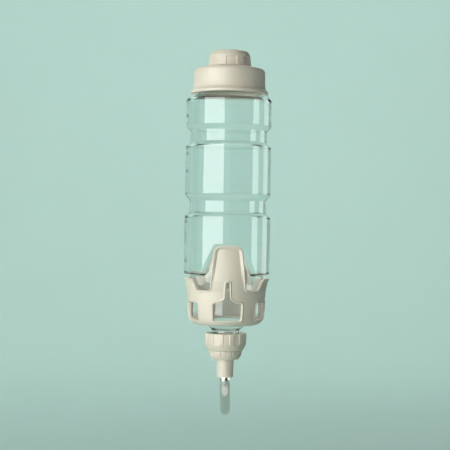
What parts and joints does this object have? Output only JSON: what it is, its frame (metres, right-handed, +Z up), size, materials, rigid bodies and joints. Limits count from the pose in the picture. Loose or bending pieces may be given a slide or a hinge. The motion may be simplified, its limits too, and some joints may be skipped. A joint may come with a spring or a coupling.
{
  "type": "rabbit water bottle",
  "caption": "Clear top-fill cage water bottle with a screw lid and fill cap, a clip-in cradle with a cage clamp, and a bent steel ball-valve spout.",
  "frame": {"origin": "centre of the cradle's cage-side bearing face, on the clamp bolt's axis", "axes": "+Z up along the bottle, -Y to the front where the person stands, +Y into the cage, +X to the right seen from the front"},
  "size_m": [0.0822, 0.1104, 0.3564],
  "materials": {
    "beige_plastic": "satin injection-moulded plastic, warm light beige",
    "clear_plastic": "clear blown plastic, glossy",
    "silicone": "translucent white silicone, matt",
    "stainless": "drawn stainless steel, bright",
    "zinc_steel": "zinc-plated steel",
    "brass": "turned brass"
  },
  "bodies": {
    "base": {"base_cradle": "beige_plastic", "mount_bolt": "zinc_steel"},
    "clamp": {"clamp_plate": "beige_plastic", "clamp_washer": "zinc_steel"},
    "wing": {"wing_nut": "beige_plastic", "nut_insert": "brass"},
    "bottle": {"bottle": "clear_plastic"},
    "lid_gasket": {"lid_seal": "silicone"},
    "lid": {"top_lid": "beige_plastic"},
    "cap_gasket": {"fill_cap_seal": "silicone"},
    "cap": {"fill_cap": "beige_plastic"},
    "spout": {"spout_body": "beige_plastic", "retaining_ring": "beige_plastic", "spout_tube": "stainless", "tube_seal": "silicone", "spring_stop": "stainless", "valve_spring": "stainless", "neck_seal": "silicone"},
    "collar": {"collar": "beige_plastic"},
    "ball": {"valve_ball": "stainless"}
  },
  "joints": [
    {"name": "bottle_lift", "type": "slide", "parent": "base", "child": "bottle", "axis": [0, 0, 1], "range_m": [0, 0.055]},
    {"name": "lid_lift", "type": "slide", "parent": "bottle", "child": "lid_gasket", "axis": [0, 0, 1], "range_m": [0, 0.006]},
    {"name": "lid_turn", "type": "hinge", "parent": "lid_gasket", "child": "lid", "pos_m": [0, -0.044, 0.19], "axis": [0, 0, 1], "range_deg": [0, 540]},
    {"name": "cap_lift", "type": "slide", "parent": "lid", "child": "cap_gasket", "axis": [0, 0, 1], "range_m": [0, 0.00525]},
    {"name": "cap_turn", "type": "hinge", "parent": "cap_gasket", "child": "cap", "pos_m": [0, -0.044, 0.215], "axis": [0, 0, 1], "range_deg": [0, 630]},
    {"name": "spout_drop", "type": "slide", "parent": "bottle", "child": "spout", "axis": [0, 0, -1], "range_m": [0, 0.0064]},
    {"name": "collar_turn", "type": "hinge", "parent": "spout", "child": "collar", "pos_m": [0, -0.044, -0.056], "axis": [0, 0, -1], "range_deg": [0, 720]},
    {"name": "ball_push", "type": "slide", "parent": "spout", "child": "ball", "axis": [-0.0462, -0.8817, 0.4695], "range_m": [0, 0.0018], "stiffness_N_per_m": 120, "springref_m": -0.0015, "deforming": ["valve_spring"]},
    {"name": "clamp_slide", "type": "slide", "parent": "base", "child": "clamp", "axis": [0, 1, 0], "range_m": [0, 0.009]},
    {"name": "wing_turn", "type": "hinge", "parent": "clamp", "child": "wing", "pos_m": [0, 0.012, 0], "axis": [0, 1, 0], "range_deg": [0, 3240]}
  ],
  "couplings": [
    {"joint": "lid_turn", "follows": "lid_lift", "rad_per_m": 1570.8},
    {"joint": "cap_turn", "follows": "cap_lift", "rad_per_m": 2094.4},
    {"joint": "collar_turn", "follows": "spout_drop", "rad_per_m": 1963.5},
    {"joint": "wing_turn", "follows": "clamp_slide", "rad_per_m": 6283.2}
  ]
}
